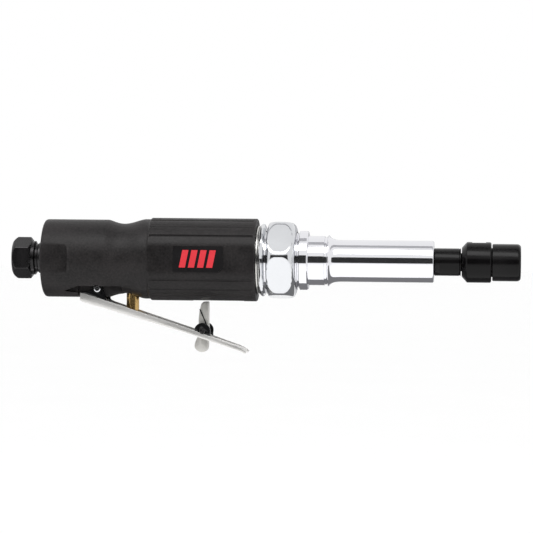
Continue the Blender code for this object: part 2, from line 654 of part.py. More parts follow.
def spindle_parts():
    spindle = turned("spindle", [
        (SPINDLE_REAR, 0.0), (SPINDLE_REAR, 2.6 * MM), (COUPLING_FRONT + MM, 2.6 * MM),
        (COUPLING_FRONT + MM, SHAFT_R), (FRONT_SPINDLE_BEARING + BEARING_LENGTH + GAP, SHAFT_R),
        (FRONT_SPINDLE_BEARING + BEARING_LENGTH + GAP, 6.0 * MM), (TUBE_FRONT - 0.1 * MM, 6.0 * MM),
        (TUBE_FRONT + 0.3 * MM, SPINDLE_R), (CHUCK_REAR - 0.9 * MM, SPINDLE_R),
        (CHUCK_REAR - 0.4 * MM, 6.6 * MM), (CHUCK_REAR - 0.4 * MM, 4.7 * MM),
        (-2.4 * MM, 4.7 * MM), (-2.4 * MM, 0.0)], ROUND)
    flats = []
    for turn in (0.0, 180.0):
        cutter = block("wrench flat", (-22.4 * MM, 6.45 * MM, -8 * MM), (-12.6 * MM, 9 * MM, 8 * MM))
        flats.append(turn_about_x(cutter, 213.0 + turn))
    combine(spindle, flats)
    dress(spindle, DARK_STEEL, 0.35, 1.0)

    coupling = turned("coupling", [(COUPLING_REAR, 2.9 * MM), (COUPLING_REAR, 6.7 * MM),
                                   (COUPLING_REAR + 0.6 * MM, 7.3 * MM), (COUPLING_FRONT - 0.6 * MM, 7.3 * MM),
                                   (COUPLING_FRONT, 6.7 * MM), (COUPLING_FRONT, 2.9 * MM)], 32)
    dress(coupling, STEEL, 0.3, 1.0)


def chuck_parts():
    body = turned("chuck_body", [
        (CHUCK_REAR, 0.0), (CHUCK_REAR, 7.4 * MM), (COLLAR_REAR, COLLAR_R - 0.4 * MM),
        (COLLAR_REAR + 0.4 * MM, COLLAR_R), (COLLAR_FRONT - 0.5 * MM, COLLAR_R),
        (COLLAR_FRONT, COLLAR_R - 0.5 * MM), (COLLAR_FRONT, CHUCK_BODY_R),
        (CHUCK_FRONT - 0.4 * MM, CHUCK_BODY_R), (CHUCK_FRONT, CHUCK_BODY_R - 0.4 * MM), (CHUCK_FRONT, 0.0)],
        ROUND)
    socket = slab("socket", hexagon(SOCKET_FLATS), 0.0, NOSE + MM, "X")
    thread = bar("thread", CHUCK_REAR - MM, -2.0 * MM, 5.0 * MM, 32)
    detent_hole = crosswise(bar("detent hole", 0.0, 12 * MM, 1.45 * MM, 16), (DETENT_X, 0.0, 0.0))
    turn_about_x(detent_hole, DETENT_TURN)
    mark = block("collar flat", (-5.8 * MM, -4.0 * MM, 10.1 * MM), (1.4 * MM, 4.0 * MM, 12 * MM))
    combine(body, [thread, socket, detent_hole, mark])
    dress(body, DARK_STEEL, 0.4, 1.0)

    detent = Vector((DETENT_X, DETENT_R * math.cos(math.radians(DETENT_TURN)),
                     DETENT_R * math.sin(math.radians(DETENT_TURN))))
    dress(ball("detent_ball", detent, 1.15 * MM), CHROME, 0.1, 1.0)

    sleeve = turned("chuck_sleeve", [
        (SLEEVE_REAR, CHUCK_BODY_R + GAP), (SLEEVE_REAR, SLEEVE_R - 0.3 * MM),
        (SLEEVE_REAR + 0.3 * MM, SLEEVE_R), (NOSE - 1.5 * MM, SLEEVE_R),
        (NOSE - 0.5 * MM, SLEEVE_R - 0.4 * MM), (NOSE, SLEEVE_R - 1.3 * MM), (NOSE, CHUCK_BODY_R + GAP),
        (NOSE - 1.2 * MM, CHUCK_BODY_R + GAP), (NOSE - 1.2 * MM, 8.9 * MM), (SPRING_SHOULDER, 8.9 * MM),
        (SPRING_SHOULDER, CHUCK_BODY_R + GAP)], ROUND)
    dress(sleeve, DARK_STEEL, 0.3, 1.0)
    spring = coil("chuck_spring", 8.25 * MM, 0.3 * MM, SPRING_SHOULDER + 0.7 * MM, 14.4 * MM, 3)
    dress(spring, STEEL, 0.3, 1.0)
    retainer = ring("chuck_retainer", 14.8 * MM, 15.8 * MM, CHUCK_BODY_R + GAP, 8.9 * MM - GAP, 24)
    dress(retainer, STEEL, 0.3, 1.0)


# ---------------------------------------------------------------- lever and latch

LEVER_HEIGHTS = (4.6, 3.8, 3.2, 2.6, 2.0, 1.8, 1.6, 1.5)     # mm above each point of the lower edge


def lever_under():
    """(x, z) points down the underside of the lever, from its rear end to the curled tip."""
    return [(-207.4, -22.7), (-188.3, -27.9), (-172.9, -32.3), (-151.5, -38.6), (-126.8, -46.6),
            (-125.0, -47.2), (-123.4, -48.0), (-122.4, -48.8)]


def offset_up(points, height):
    """The same run of points, moved square to itself by the height."""
    moved = []
    for step, point in enumerate(points):
        before, after = points[max(step - 1, 0)], points[min(step + 1, len(points) - 1)]
        run = Vector((after[0] - before[0], after[1] - before[1])).normalized()
        moved.append((point[0] - run.y * height, point[1] + run.x * height))
    return moved


def millimetres(points):
    return [(x * MM, z * MM) for x, z in points]


def lever_side_outline():
    """Side plate: low flange along the lever, raised into a pivot ear and a latch lug."""
    under = lever_under()
    top = [offset_up(under, height)[step] for step, height in enumerate(LEVER_HEIGHTS)]
    ear = [(-196.2, -14.6), (-197.6, -13.2), (-205.4, -13.2), (-206.2, -14.0), (-206.6, -17.3)]
    lug = arc((LATCH_PIVOT.x / MM, LATCH_PIVOT.z / MM), 4.2, -15, 160, 8)
    rear = [(-208.6, -17.6), (-208.8, -21.6)]
    return millimetres(under + top[:3:-1] + lug + [top[3], top[2], top[1], (-190.6, -24.0)]
                       + ear + rear)


def lever():
    half = LEVER_WIDTH / 2
    outline = lever_side_outline()
    near = slab("lever", outline, -half, -half + SHEET)
    far = slab("far side", outline, half - SHEET, half)
    under = offset_up(lever_under(), 0.12)
    upper = offset_up(lever_under(), SHEET / MM)
    web = slab("web", millimetres(under[:-1] + [upper[-2]] + upper[-3::-1]),
               -half + SHEET / 2, half - SHEET / 2)
    combine(near, [web, far], "UNION")
    slot = block("latch slot", (-157.2 * MM, -LATCH_THICK / 2 - GAP, -50 * MM),
                 (-138.4 * MM, LATCH_THICK / 2 + GAP, -33.0 * MM))
    coil_space = block("coil slot", (-149.6 * MM, -LEVER_WIDTH / 2 + SHEET + GAP / 2, -50 * MM),
                       (-139.6 * MM, -LATCH_THICK / 2, -33.0 * MM))
    pivot_hole = crosswise(bar("pivot hole", -20 * MM, 20 * MM, PIN_R + GAP, SMALL), PIVOT)
    latch_hole = crosswise(bar("latch hole", -20 * MM, 20 * MM, LATCH_PIN_R + GAP, 16), LATCH_PIVOT)
    combine(near, [slot, coil_space, pivot_hole, latch_hole])
    set_origin(dress(near, STEEL, 0.3, 1.0), PIVOT)

    pin = crosswise(bar("latch_pin", -half - 0.5 * MM, half + 0.5 * MM, LATCH_PIN_R, 16, 0.3 * MM), LATCH_PIVOT)
    set_origin(dress(pin, DARK_STEEL, 0.3, 1.0), PIVOT)


def latch():
    """Lock-off latch: hub on the latch pin, a leg up to the grip and a finger paddle below."""
    x, z = LATCH_PIVOT.x / MM, LATCH_PIVOT.z / MM
    outline = [(x - 1.3, z + 13.9), (x - 0.1, z + 15.1), (x + 2.8, z + 15.1), (x + 2.8, z + 6.0), (x + 2.9, z + 1.2),
               (x + 2.6, z - 3.0), (x + 2.6, z - 8.2), (x + 1.6, z - 10.3), (x - 0.8, z - 11.2),
               (x - 3.3, z - 10.4), (x - 4.7, z - 8.4), (x - 4.4, z - 6.2), (x - 2.9, z - 2.8),
               (x - 2.6, z + 0.6), (x - 2.6, z + 6.0)]
    plate = slab("latch", millimetres(outline), -LATCH_THICK / 2, LATCH_THICK / 2)
    hole = crosswise(bar("pin hole", -10 * MM, 10 * MM, LATCH_PIN_R + GAP, 16), LATCH_PIVOT)
    combine(plate, [hole])
    set_origin(dress(plate, STEEL, 0.35, 1.0), LATCH_PIVOT)

    spring = coil("latch_spring", 3.2 * MM, 0.35 * MM, -LEVER_WIDTH / 2 + SHEET + 0.8 * MM,
                  -LATCH_THICK / 2 - 0.8 * MM, 3)
    set_origin(dress(crosswise(spring, LATCH_PIVOT), DARK_STEEL, 0.3, 1.0), LATCH_PIVOT)


# ---------------------------------------------------------------- emblem

def emblem():
    """A thin dark plate on the flat panel with a plain striped emblem on it."""
    plate_y = -PANEL_FLAT - 0.05 * MM
    rear, front, low, high = -158.6 * MM, -133.0 * MM, -6.2 * MM, 7.0 * MM
    outline = [(rear, low), (front - 2.4 * MM, low), (front, low + 2.4 * MM), (front, high), (rear, high)]
    dress(slab("emblem_plate", outline, plate_y - 0.35 * MM, plate_y), BLACK, 0.2, 0.0)
    stripe_y = plate_y - 0.35 * MM - 0.05 * MM
    slant, width, gap = 1.8 * MM, 3.2 * MM, 1.5 * MM
    for step in range(4):
        left = rear + 3.0 * MM + step * (width + gap)
        stripe = [(left, -4.0 * MM), (left + width, -4.0 * MM),
                  (left + width + slant, 5.0 * MM), (left + slant, 5.0 * MM)]
        dress(slab("emblem_stripe_%d" % (step + 1), stripe, stripe_y - 0.2 * MM, stripe_y), RED, 0.35, 0.0)


clear_scene()
housing()
lever_pin()
inlet_parts()
valve_parts()
motor_parts()
extension_parts()
spindle_parts()
chuck_parts()
lever()
latch()
emblem()
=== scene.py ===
"""Looks for the die grinder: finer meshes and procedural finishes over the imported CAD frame."""

import json
import math

import bmesh
import bpy
from mathutils import Matrix, Vector


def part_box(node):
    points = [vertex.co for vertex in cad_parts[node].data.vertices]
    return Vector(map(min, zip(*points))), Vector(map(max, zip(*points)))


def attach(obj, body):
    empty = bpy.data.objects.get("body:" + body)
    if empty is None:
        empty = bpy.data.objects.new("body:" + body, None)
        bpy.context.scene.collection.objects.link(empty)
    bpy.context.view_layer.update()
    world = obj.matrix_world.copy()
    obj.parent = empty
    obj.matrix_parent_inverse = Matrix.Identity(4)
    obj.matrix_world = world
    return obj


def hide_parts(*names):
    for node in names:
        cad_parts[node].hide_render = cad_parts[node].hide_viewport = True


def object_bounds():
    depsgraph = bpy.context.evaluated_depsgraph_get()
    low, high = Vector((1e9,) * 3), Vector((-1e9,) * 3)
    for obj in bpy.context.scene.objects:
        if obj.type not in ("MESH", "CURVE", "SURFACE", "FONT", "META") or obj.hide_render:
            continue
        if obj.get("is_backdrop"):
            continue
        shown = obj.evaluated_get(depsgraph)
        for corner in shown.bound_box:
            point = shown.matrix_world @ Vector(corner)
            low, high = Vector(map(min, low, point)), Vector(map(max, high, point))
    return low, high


MM = 0.001
ROUND = 112                 # sides of a turned piece that shows
SMALL_ROUND = 40
NUT_SIDES = 216
CREASE = math.radians(28)   # edges steeper than this stay crisp

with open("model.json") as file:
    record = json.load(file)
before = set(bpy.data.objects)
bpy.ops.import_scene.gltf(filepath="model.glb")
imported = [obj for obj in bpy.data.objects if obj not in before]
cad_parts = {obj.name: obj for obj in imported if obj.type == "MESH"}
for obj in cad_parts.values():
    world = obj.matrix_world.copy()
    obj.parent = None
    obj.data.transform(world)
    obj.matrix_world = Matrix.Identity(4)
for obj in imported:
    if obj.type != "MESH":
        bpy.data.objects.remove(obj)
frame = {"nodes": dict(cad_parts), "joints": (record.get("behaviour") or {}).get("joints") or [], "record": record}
cad_low, cad_high = (tuple(corner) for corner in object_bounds())
joints = {joint["name"]: joint for joint in frame["joints"]}
PIVOT = Vector(joints["lever_hinge"]["pos_m"])
LATCH_PIVOT = Vector(joints["latch_hinge"]["pos_m"])


# ---------------------------------------------------------------- materials

BROAD_GRAIN = 22.0          # how much coarser the mottling is than the fine grain
GRAIN_RELIEF = 0.1 * MM


def add_node(tree, kind, **settings):
    node = tree.nodes.new(kind)
    for key, value in settings.items():
        if key in node.inputs:
            node.inputs[key].default_value = value
        else:
            setattr(node, key, value)
    return node


def finish_material(name, colour, roughness, metallic, vary, rough_vary, grain,
                    bump=0.0, wear=0.0, stretch=(1.0, 1.0, 1.0), specular=0.5):
    """Principled material: mottled colour, uneven gloss, a fine bump, and brighter worn edges."""
    material = bpy.data.materials.new(name)
    material.use_nodes = True
    tree = material.node_tree
    shader = tree.nodes["Principled BSDF"]
    shader.inputs["Base Color"].default_value = (*colour, 1.0)
    shader.inputs["Roughness"].default_value = roughness
    shader.inputs["Metallic"].default_value = metallic
    shader.inputs["Specular IOR Level"].default_value = specular
    place = add_node(tree, "ShaderNodeTexCoord")
    spread = add_node(tree, "ShaderNodeMapping")
    spread.inputs["Scale"].default_value = stretch
    tree.links.new(place.outputs["Object"], spread.inputs["Vector"])

    fine = add_node(tree, "ShaderNodeTexNoise", Scale=grain, Detail=3.0, Roughness=0.6)
    broad = add_node(tree, "ShaderNodeTexNoise", Scale=grain / BROAD_GRAIN, Detail=4.0, Roughness=0.65)
    for texture in (fine, broad):
        tree.links.new(spread.outputs["Vector"], texture.inputs["Vector"])

    both = add_node(tree, "ShaderNodeMath", operation="ADD")
    tree.links.new(fine.outputs["Fac"], both.inputs[0])
    tree.links.new(broad.outputs["Fac"], both.inputs[1])
    tone = add_node(tree, "ShaderNodeMapRange")
    tone.inputs["From Min"].default_value = 0.7
    tone.inputs["From Max"].default_value = 1.3
    tone.inputs["To Min"].default_value = 1.0 - vary
    tone.inputs["To Max"].default_value = 1.0 + vary
    tree.links.new(both.outputs[0], tone.inputs["Value"])
    tint = add_node(tree, "ShaderNodeVectorMath", operation="SCALE")
    tint.inputs[0].default_value = colour
    tree.links.new(tone.outputs["Result"], tint.inputs["Scale"])

    base = tint.outputs["Vector"]
    if wear:
        shape = add_node(tree, "ShaderNodeNewGeometry")
        edge = add_node(tree, "ShaderNodeMapRange")
        edge.inputs["From Min"].default_value = 0.52
        edge.inputs["From Max"].default_value = 0.62
        edge.inputs["To Max"].default_value = wear
        tree.links.new(shape.outputs["Pointiness"], edge.inputs["Value"])
        mix = add_node(tree, "ShaderNodeMix", data_type="RGBA")
        mix_inputs = {socket.identifier: socket for socket in mix.inputs}
        mix_inputs["B_Color"].default_value = (*[min(1.0, c * 3.0 + 0.04) for c in colour], 1.0)
        tree.links.new(edge.outputs["Result"], mix_inputs["Factor_Float"])
        tree.links.new(base, mix_inputs["A_Color"])
        base = {socket.identifier: socket for socket in mix.outputs}["Result_Color"]
    tree.links.new(base, shader.inputs["Base Color"])

    gloss = add_node(tree, "ShaderNodeMapRange")
    gloss.inputs["From Min"].default_value = 0.3
    gloss.inputs["From Max"].default_value = 0.7
    gloss.inputs["To Min"].default_value = max(0.02, roughness - rough_vary)
    gloss.inputs["To Max"].default_value = roughness + rough_vary
    tree.links.new(broad.outputs["Fac"], gloss.inputs["Value"])
    tree.links.new(gloss.outputs["Result"], shader.inputs["Roughness"])

    if bump:
        relief = add_node(tree, "ShaderNodeBump", Strength=bump, Distance=GRAIN_RELIEF)
        tree.links.new(fine.outputs["Fac"], relief.inputs["Height"])
        tree.links.new(relief.outputs["Normal"], shader.inputs["Normal"])
    return material


BLACK_COAT = finish_material("black_coat", (0.0105, 0.0090, 0.0092), 0.46, 0.0, 0.75, 0.10, 1000.0, 0.8,
                             0.4,
                             specular=0.22)
CHROME = finish_material("chrome", (0.80, 0.80, 0.83), 0.065, 1.0, 0.01, 0.02, 900.0, 0.01)
TURNED = finish_material("turned_steel", (0.66, 0.65, 0.62), 0.22, 1.0, 0.05, 0.05, 1500.0, 0.05,
                         stretch=(3.0, 0.3, 0.3))
SATIN = finish_material("satin_steel", (0.80, 0.79, 0.77), 0.26, 0.72, 0.06, 0.06, 1400.0, 0.08,
                        stretch=(0.12, 1.0, 2.0))
CAST = finish_material("latch_metal", (0.62, 0.61, 0.58), 0.38, 0.7, 0.07, 0.07, 1800.0, 0.15)
OXIDE = finish_material("black_oxide", (0.022, 0.021, 0.022), 0.30, 0.75, 0.2, 0.08, 1600.0, 0.10, 0.4,
                        stretch=(2.0, 0.5, 0.5))
GLOSS_BLACK = finish_material("gloss_black", (0.0025, 0.0022, 0.0024), 0.20, 0.0, 0.2, 0.05, 1600.0, 0.06,
                              0.3,
                              stretch=(2.0, 0.5, 0.5), specular=0.16)
NUT_CHROME = finish_material("nut_chrome", (0.66, 0.67, 0.69), 0.10, 1.0, 0.02, 0.03, 900.0, 0.02)
# painted shade: near-black gloss for the lever's steel ears and lugs, standing in for the shade under the housing
# and their dark reflections
SHADE_PAINTED_EAR = finish_material("shade_painted_ear", (0.006, 0.006, 0.0065), 0.14, 0.0, 0.2, 0.05, 1200.0, 0.08,
                           specular=0.45)
BRASS = finish_material("brass", (0.60, 0.40, 0.16), 0.20, 1.0, 0.06, 0.05, 1500.0, 0.05)
RUBBER = finish_material("rubber", (0.008, 0.008, 0.008), 0.55, 0.0, 0.2, 0.08, 1800.0, 0.2)
IRON = finish_material("machined_iron", (0.16, 0.16, 0.165), 0.38, 0.9, 0.1, 0.08, 1500.0, 0.1)
FIBRE = finish_material("fibre_laminate", (0.17, 0.08, 0.04), 0.6, 0.0, 0.25, 0.08, 1200.0, 0.2,
                        stretch=(0.2, 1.0, 1.0))
BLACK_FILM = finish_material("black_film", (0.008, 0.0075, 0.008), 0.30, 0.0, 0.15, 0.05, 1500.0, 0.04,
                             specular=0.2)
RED_FILM = finish_material("red_film", (0.58, 0.020, 0.032), 0.38, 0.0, 0.06, 0.05, 1800.0, 0.05)
FLOOR = finish_material("floor_paper", (0.99, 0.99, 0.99), 0.75, 0.0, 0.005, 0.03, 60.0)

SLOT_FINISH = {"black_coat": BLACK_COAT, "chrome": CHROME, "steel": TURNED, "black_steel": OXIDE,
               "brass": BRASS, "rubber": RUBBER, "iron": IRON, "fibre": FIBRE,
               "black_film": BLACK_FILM, "red_film": RED_FILM}


# ---------------------------------------------------------------- mesh building

def from_bmesh(name, mesh_edit):
    bmesh.ops.recalc_face_normals(mesh_edit, faces=mesh_edit.faces[:])
    mesh = bpy.data.meshes.new(name)
    mesh_edit.to_mesh(mesh)
    mesh_edit.free()
    thing = bpy.data.objects.new(name, mesh)
    bpy.context.scene.collection.objects.link(thing)
    return thing


def smooth(thing, crease=CREASE):
    mesh_edit = bmesh.new()
    mesh_edit.from_mesh(thing.data)
    for face in mesh_edit.faces:
        face.smooth = True
    for edge in mesh_edit.edges:
        edge.smooth = edge.is_manifold and edge.calc_face_angle(0.0) < crease
    mesh_edit.to_mesh(thing.data)
    mesh_edit.free()


def skin(name, rings, closed_run=False):
    """Closed mesh through rings of points; a ring of one point closes that end."""
    mesh_edit = bmesh.new()
    rows = [[mesh_edit.verts.new(point) for point in ring] for ring in rings]
    sides = max(len(row) for row in rows)
    pairs = list(zip(rows, rows[1:])) + ([(rows[-1], rows[0])] if closed_run else [])
    for first, second in pairs:
        for step in range(sides):
            after = (step + 1) % sides
            corners = [first[step % len(first)], first[after % len(first)],
                       second[after % len(second)], second[step % len(second)]]
            mesh_edit.faces.new(list(dict.fromkeys(corners)))
    return from_bmesh(name, mesh_edit)


def turned(name, profile, sides=ROUND, centre=(0.0, 0.0), radius_at=None):
    """Solid of revolution about X from (x, radius) points, ring-shaped if it never meets the axis."""
    rings = []
    for x, radius in profile:
        if radius == 0.0:
            rings.append([(x, centre[0], centre[1])])
            continue
        row = []
        for step in range(sides):
            angle = 2 * math.pi * (step + 0.5) / sides
            reach = radius_at(angle, x, radius) if radius_at else radius
            row.append((x, centre[0] + reach * math.cos(angle), centre[1] + reach * math.sin(angle)))
        rings.append(row)
    return skin(name, rings, closed_run=len(rings[0]) > 1)


def rounded(profile, radius, steps=3):
    """The same run of points with each inner corner turned into a small arc."""
    points = [Vector((x, r)) for x, r in profile]
    result = [tuple(points[0])]
    for before, corner, after in zip(points, points[1:], points[2:]):
        back, ahead = before - corner, after - corner
        reach = min(radius, back.length * 0.45, ahead.length * 0.45)
        if reach < 0.01 * MM or back.angle(ahead, math.pi) > math.radians(172):
            result.append(tuple(corner))
            continue
        start, stop = corner + back.normalized() * reach, corner + ahead.normalized() * reach
        for step in range(steps + 1):
            share = step / steps
            point = (start * (1 - share) ** 2 + corner * 2 * share * (1 - share) + stop * share ** 2)
            result.append(tuple(point))
    result.append(tuple(points[-1]))
    return result


def bar(name, rear, front, radius, sides=SMALL_ROUND, centre=(0.0, 0.0)):
    return turned(name, [(rear, 0.0), (rear, radius), (front, radius), (front, 0.0)], sides, centre)


def slab(name, outline, low, high, axis="Y"):
    """Prism from a flat outline: (x, z) points pushed along Y, or (y, z) points along X."""
    place = {"Y": lambda u, v, w: (u, w, v), "X": lambda u, v, w: (w, u, v)}[axis]
    mesh_edit = bmesh.new()
    base = [mesh_edit.verts.new(place(u, v, low)) for u, v in outline]
    top = [mesh_edit.verts.new(place(u, v, high)) for u, v in outline]
    mesh_edit.faces.new(base)
    mesh_edit.faces.new(top)
    for step in range(len(outline)):
        after = (step + 1) % len(outline)
        mesh_edit.faces.new((base[step], base[after], top[after], top[step]))
    return from_bmesh(name, mesh_edit)


def block(name, low, high):
    outline = [(low[0], low[2]), (high[0], low[2]), (high[0], high[2]), (low[0], high[2])]
    return slab(name, outline, low[1], high[1])


def arc(centre, radius, start, stop, steps):
    return [(centre[0] + radius * math.cos(math.radians(start + (stop - start) * step / steps)),
             centre[1] + radius * math.sin(math.radians(start + (stop - start) * step / steps)))
            for step in range(steps + 1)]


def crosswise(thing, at):
    thing.data.transform(Matrix.Translation(at) @ Matrix.Rotation(math.pi / 2, 4, "Z"))
    return thing


def upright(thing, x):
    thing.data.transform(Matrix.Translation((x, 0.0, 0.0)) @ Matrix.Rotation(-math.pi / 2, 4, "Y"))
    return thing


def turn_about_x(thing, degrees):
    thing.data.transform(Matrix.Rotation(math.radians(degrees), 4, "X"))
    return thing


def combine(target, others, operation="DIFFERENCE"):
    """Cuts the other pieces out of the target, or joins them to it, and uses them up."""
    for other in others:
        modifier = target.modifiers.new("combine", "BOOLEAN")
        modifier.operation = operation
        modifier.solver = "EXACT"
        modifier.object = other
        bpy.context.view_layer.update()
        depsgraph = bpy.context.evaluated_depsgraph_get()
        result = bpy.data.meshes.new_from_object(target.evaluated_get(depsgraph))
        target.modifiers.clear()
        target.data = result
        bpy.data.objects.remove(other, do_unlink=True)
    mesh_edit = bmesh.new()
    mesh_edit.from_mesh(target.data)
    bmesh.ops.remove_doubles(mesh_edit, verts=mesh_edit.verts[:], dist=0.002 * MM)
    mesh_edit.to_mesh(target.data)
    mesh_edit.free()


def soften(thing, width, segments=2, angle=40.0):
    """Rounds the crisp edges and keeps it as real mesh."""
    modifier = thing.modifiers.new("soften", "BEVEL")
    modifier.width = width
    modifier.segments = segments
    modifier.limit_method = "ANGLE"
    modifier.angle_limit = math.radians(angle)
    bpy.context.view_layer.update()
    depsgraph = bpy.context.evaluated_depsgraph_get()
    result = bpy.data.meshes.new_from_object(thing.evaluated_get(depsgraph))
    thing.modifiers.clear()
    thing.data = result


def tube(name, path, radius, sides=10):
    """Round wire through the points of a path, with flat ends."""
    points = [Vector(point) for point in path]
    rings = []
    for step, point in enumerate(points):
        run = (points[min(step + 1, len(points) - 1)] - points[max(step - 1, 0)]).normalized()
        side = (side - run * side.dot(run)).normalized() if step else run.orthogonal().normalized()
        other = run.cross(side)
        rings.append([point + side * radius * math.cos(2 * math.pi * k / sides)
                      + other * radius * math.sin(2 * math.pi * k / sides) for k in range(sides)])
    rings = [[points[0]]] + rings + [[points[-1]]]
    return skin(name, rings)


def dress(thing, material, body, replaced, crease=CREASE):
    """Gives a piece its finish, the body it moves with and the CAD piece it stands for."""
    thing.data.materials.clear()
    thing.data.materials.append(material)
    smooth(thing, crease)
    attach(thing, body)
    if replaced:
        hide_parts(replaced)


# ---------------------------------------------------------------- housing

housing_low, housing_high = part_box("housing")
BODY_REAR, GRIP_FRONT = housing_low.x, housing_high.x
GRIP_R = -housing_low.z
BODY_R = GRIP_R - 1.2 * MM
LAND_R = GRIP_R - 0.75 * MM
WAIST_REAR, WAIST_FRONT = BODY_REAR + 33.2 * MM, BODY_REAR + 52.8 * MM
GRIP_REAR = BODY_REAR + 56.4 * MM
WAIST_DEPTH = 2.2 * MM
PANEL_HALF = 20.0           # degrees either side of the middle of a flat panel
PANEL_FLAT = GRIP_R * math.cos(math.radians(PANEL_HALF))
GROOVES = {35.0: 1.0, 52.5: 0.5, 70.0: 0.5, -29.0: 0.45, -46.0: 0.55, -62.0: 0.6}
GROOVE_DEPTH = 0.8 * MM
PIN_HOLE_R = 2.1 * MM
LATCH_HOLE_R = 1.6 * MM
WRENCH_FLAT_HALF = 7.2 * MM
WRENCH_FLAT_LENGTH = 13.9 * MM


def grip_angles():
    """(angle, cut depth) round the grip; the near half first, then its mirror image."""
    near = []
    for middle, share in GROOVES.items():
        depth = GROOVE_DEPTH * share
        for offset, sink in ((-2.3, 0.0), (-1.9, 0.15), (-0.9, 1.0), (0.9, 1.0), (1.9, 0.15), (2.3, 0.0)):
            near.append((middle + offset, depth * sink))
    for step in range(-4, 5):
        near.append((step * PANEL_HALF / 4, 0.0))
    for middle in (25.0, 29.0, 40.5, 43.5, 46.5, 58.0, 61.0, 64.0, 76.0, 80.0, 84.0, -24.0, -35.0, -38.0,
                   -41.0, -51.0, -54.0, -57.0, -67.0, -71.0, -75.0, -79.0, -84.0):
        near.append((middle, 0.0))
    far = [(180.0 - angle, depth) for angle, depth in near]
    top = [(87.6, 0.0), (88.6, GROOVE_DEPTH / 2), (91.4, GROOVE_DEPTH / 2), (92.4, 0.0)]
    return sorted(near + far + top + [(270.0, 0.0)])


def housing_outline():
    rows = [(BODY_REAR, BODY_R - 1.5 * MM, 0), (BODY_REAR + 0.12 * MM, BODY_R - 0.9 * MM, 0),
            (BODY_REAR + 0.45 * MM, BODY_R - 0.4 * MM, 0), (BODY_REAR + 1.0 * MM, BODY_R - 0.1 * MM, 0),
            (BODY_REAR + 1.6 * MM, BODY_R, 0), (BODY_REAR + 16 * MM, BODY_R, 0)]
    steps = 26
    for step in range(steps + 1):
        share = step / steps
        x = WAIST_REAR + (WAIST_FRONT - WAIST_REAR) * share
        dip = WAIST_DEPTH * math.sin(math.pi * share ** 0.85) ** 1.5
        rows.append((x, BODY_R + (LAND_R - BODY_R) * share - dip, 0))
    rows += [(GRIP_REAR - 1.0 * MM, LAND_R, 0), (GRIP_REAR - 0.75 * MM, LAND_R + 0.1 * MM, 0),
             (GRIP_REAR - 0.2 * MM, GRIP_R - 0.1 * MM, 0), (GRIP_REAR + 0.1 * MM, GRIP_R, 0.1),
             (GRIP_REAR + 0.7 * MM, GRIP_R, 1), (GRIP_FRONT - 20 * MM, GRIP_R, 1),
             (GRIP_FRONT - 1.9 * MM, GRIP_R, 1), (GRIP_FRONT - 1.2 * MM, GRIP_R, 0.2),
             (GRIP_FRONT - 0.7 * MM, GRIP_R, 0), (GRIP_FRONT - 0.25 * MM, GRIP_R - 0.12 * MM, 0),
             (GRIP_FRONT, GRIP_R - 0.5 * MM, 0), (GRIP_FRONT, 17.0 * MM, 0),
             (GRIP_FRONT - 3 * MM, 17.0 * MM, 0)]
    return rows


def grip_reach(degrees, x, radius, depth):
    """Distance from the axis to the skin; a flat panel runs to the front of the grip on each side."""
    from_middle = min(abs(degrees), abs(degrees - 180.0))
    if x > GRIP_REAR - 0.5 * MM and from_middle <= PANEL_HALF:
        return min(radius, PANEL_FLAT / math.cos(math.radians(from_middle)))
    return radius - depth


